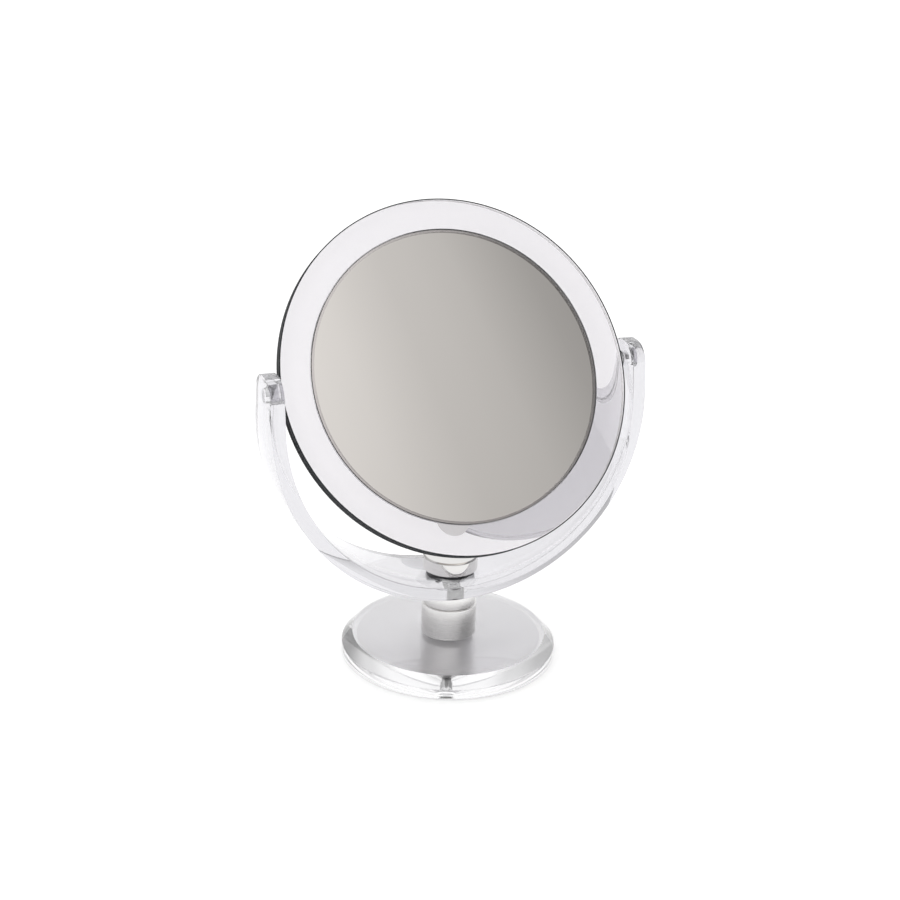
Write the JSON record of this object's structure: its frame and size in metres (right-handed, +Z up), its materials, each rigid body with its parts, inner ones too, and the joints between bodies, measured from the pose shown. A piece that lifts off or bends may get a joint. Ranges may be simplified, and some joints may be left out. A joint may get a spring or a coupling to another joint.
{
  "type": "countertop mirror",
  "caption": "Round tilting mirror in a clear acrylic frame, held between the arms of a bent clear yoke on a metal pillar and a bevelled round base.",
  "frame": {"origin": "under the centre of the base, on the plane that the bumper feet stand on", "axes": "+Z up along the pillar; +X along the tilt axis, to the right of someone looking into the mirror; the mirror faces -Y"},
  "size_m": [0.2244, 0.126, 0.2608],
  "materials": {
    "clear_acrylic": "polished clear acrylic",
    "clear_rubber": "soft clear elastomer",
    "brushed_plate": "straight-grain brushed",
    "satin_metal": "satin turned",
    "polished_metal": "polished",
    "zinc_steel": "plated screw steel",
    "black_rubber": "matt black",
    "white_nylon": "moulded",
    "mirror_glass": "silvered glass",
    "grey_card": "grey backing board"
  },
  "bodies": {
    "stand": {"base_disc": "clear_acrylic", "base_lower_disc": "clear_acrylic", "base_plate": "brushed_plate", "bumper_foot_front_right": "clear_rubber", "bumper_foot_back_right": "clear_rubber", "bumper_foot_back_left": "clear_rubber", "bumper_foot_front_left": "clear_rubber", "central_screw": "zinc_steel", "screw_washer": "zinc_steel", "lower_collar": "satin_metal", "neck_spacer": "satin_metal", "neck_saddle_washer": "clear_rubber", "yoke": "clear_acrylic", "yoke_bushing": "white_nylon", "cap_gasket": "black_rubber", "upper_cap": "polished_metal", "pivot_pin_left": "clear_acrylic", "pivot_pin_right": "clear_acrylic", "pivot_washer_left": "clear_rubber", "pivot_washer_right": "clear_rubber"},
    "head": {"front_ring": "clear_acrylic", "rear_ring": "clear_acrylic", "front_mirror_glass": "mirror_glass", "rear_mirror_glass": "mirror_glass", "backing_disc": "grey_card"}
  },
  "joints": [
    {"name": "head_tilt", "type": "hinge", "parent": "stand", "child": "head", "pos_m": [0, 0, 0.1722], "axis": [1, 0, 0], "continuous": true}
  ]
}
